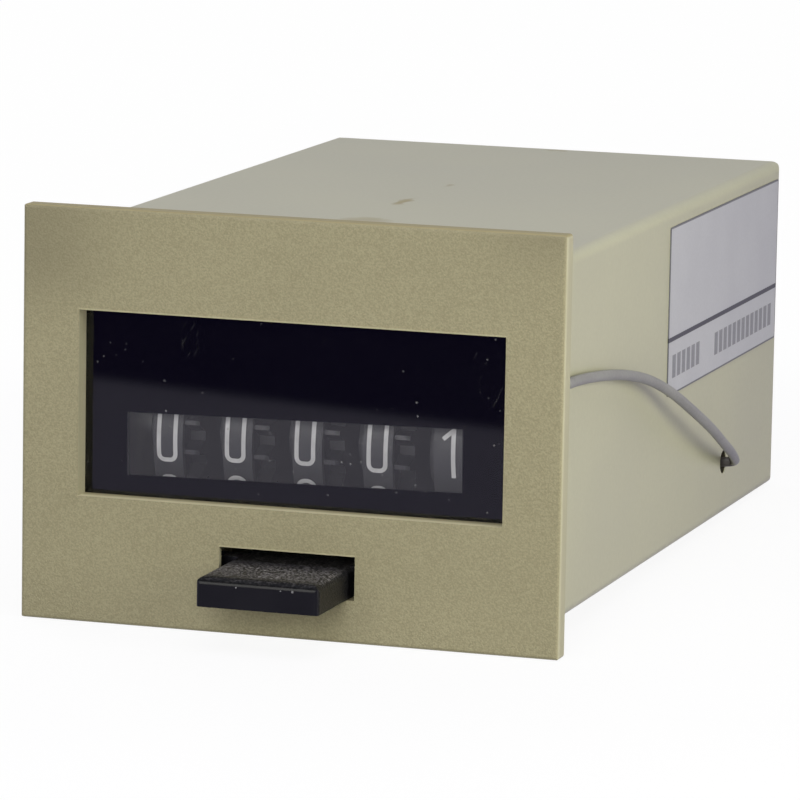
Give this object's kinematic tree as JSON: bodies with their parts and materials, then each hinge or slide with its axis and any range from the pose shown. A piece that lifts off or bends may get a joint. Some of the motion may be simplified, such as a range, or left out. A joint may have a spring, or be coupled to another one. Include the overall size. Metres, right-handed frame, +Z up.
{
  "type": "panel counter",
  "caption": "Electromagnetic panel counter: beige grained bezel with a dark number window, black push reset key, deep box case and a grey flying lead",
  "frame": {"origin": "middle of the case's section, in the plane of the flange's back, which seats on the panel's front", "axes": "+X right as seen from the front, +Y back through the panel, +Z up"},
  "size_m": [0.0618, 0.1075, 0.0446],
  "materials": {
    "grained_beige": "fine moulded grain, olive beige",
    "case_beige": "smooth moulded, slightly glossy beige with small stains",
    "clear_pane": "clear acrylic, polished",
    "mask_black": "black sheet",
    "label_paper": "pale grey paper label",
    "zinc_sheet": "zinc plated sheet",
    "steel": "turned and plated steel",
    "soft_iron": "annealed and plated iron",
    "wheel_plastic": "moulded dark grey",
    "key_black": "black moulded key, grained on top",
    "cream_plastic": "natural moulded plastic",
    "coil_wrap": "wrapped copper winding",
    "brass": "plain brass",
    "lead_sheath": "grey soft sheath"
  },
  "bodies": {
    "housing": {"front_bezel": "grained_beige", "window_pane": "clear_pane", "digit_mask": "mask_black", "case": "case_beige", "side_label": "label_paper", "chassis": "zinc_sheet", "chassis_screws": "steel", "spacer_bar": "steel", "wheel_shaft": "steel", "pinion_shaft": "steel", "comb_shaft": "steel", "shaft_clips": "steel", "shaft_spacers": "steel", "yoke": "soft_iron", "yoke_screws": "steel", "core": "soft_iron", "core_screw": "steel", "bobbin": "cream_plastic", "winding": "coil_wrap", "solder_tags": "brass", "armature_pin": "steel", "armature_spring": "steel", "key_spring": "steel", "lead_root": "lead_sheath", "lead_wire": "lead_sheath"},
    "wheel_ten_thousands_body": {"wheel_ten_thousands": "wheel_plastic"},
    "wheel_thousands_body": {"wheel_thousands": "wheel_plastic"},
    "wheel_hundreds_body": {"wheel_hundreds": "wheel_plastic"},
    "wheel_tens_body": {"wheel_tens": "wheel_plastic"},
    "wheel_units_body": {"wheel_units": "wheel_plastic"},
    "pinion_1_body": {"pinion_1": "wheel_plastic"},
    "pinion_2_body": {"pinion_2": "wheel_plastic"},
    "pinion_3_body": {"pinion_3": "wheel_plastic"},
    "pinion_4_body": {"pinion_4": "wheel_plastic"},
    "key_body": {"reset_key": "key_black"},
    "comb_body": {"reset_comb": "zinc_sheet"},
    "armature_body": {"armature": "soft_iron", "drive_anchor": "cream_plastic", "anchor_rivets": "brass"}
  },
  "joints": [
    {"name": "wheel_ten_thousands_turn", "type": "hinge", "parent": "housing", "child": "wheel_ten_thousands_body", "pos_m": [-0.0157, 0.015, -0.0027], "axis": [1, 0, 0], "continuous": true},
    {"name": "wheel_thousands_turn", "type": "hinge", "parent": "housing", "child": "wheel_thousands_body", "pos_m": [-0.00785, 0.015, -0.0027], "axis": [1, 0, 0], "continuous": true},
    {"name": "wheel_hundreds_turn", "type": "hinge", "parent": "housing", "child": "wheel_hundreds_body", "pos_m": [0, 0.015, -0.0027], "axis": [1, 0, 0], "continuous": true},
    {"name": "wheel_tens_turn", "type": "hinge", "parent": "housing", "child": "wheel_tens_body", "pos_m": [0.00785, 0.015, -0.0027], "axis": [1, 0, 0], "continuous": true},
    {"name": "wheel_units_turn", "type": "hinge", "parent": "housing", "child": "wheel_units_body", "pos_m": [0.0157, 0.015, -0.0027], "axis": [1, 0, 0], "continuous": true},
    {"name": "pinion_1_turn", "type": "hinge", "parent": "housing", "child": "pinion_1_body", "pos_m": [-0.01178, 0.02118, 0.00892], "axis": [1, 0, 0], "continuous": true},
    {"name": "pinion_2_turn", "type": "hinge", "parent": "housing", "child": "pinion_2_body", "pos_m": [-0.00392, 0.02118, 0.00892], "axis": [1, 0, 0], "continuous": true},
    {"name": "pinion_3_turn", "type": "hinge", "parent": "housing", "child": "pinion_3_body", "pos_m": [0.00392, 0.02118, 0.00892], "axis": [1, 0, 0], "continuous": true},
    {"name": "pinion_4_turn", "type": "hinge", "parent": "housing", "child": "pinion_4_body", "pos_m": [0.01178, 0.02118, 0.00892], "axis": [1, 0, 0], "continuous": true},
    {"name": "key_push", "type": "slide", "parent": "housing", "child": "key_body", "axis": [0, 1, 0], "range_m": [0, 0.003], "stiffness_N_per_m": 120, "springref_m": -0.006, "deforming": ["key_spring"]},
    {"name": "comb_swing", "type": "hinge", "parent": "housing", "child": "comb_body", "pos_m": [0, 0.03, -0.0085], "axis": [1, 0, 0], "range_deg": [0, 25.3]},
    {"name": "armature_swing", "type": "hinge", "parent": "housing", "child": "armature_body", "pos_m": [0, 0.04615, -0.0144], "axis": [-1, 0, 0], "range_deg": [0, 3.8], "stiffness_Nm_per_rad": 0.05, "springref_deg": -6.88, "deforming": ["armature_spring"]}
  ],
  "couplings": [
    {"joint": "pinion_1_turn", "follows": "wheel_ten_thousands_turn", "ratio": -2.5},
    {"joint": "pinion_2_turn", "follows": "wheel_thousands_turn", "ratio": -2.5},
    {"joint": "pinion_3_turn", "follows": "wheel_hundreds_turn", "ratio": -2.5},
    {"joint": "pinion_4_turn", "follows": "wheel_tens_turn", "ratio": -2.5},
    {"joint": "comb_swing", "follows": "key_push", "rad_per_m": 146.67}
  ]
}
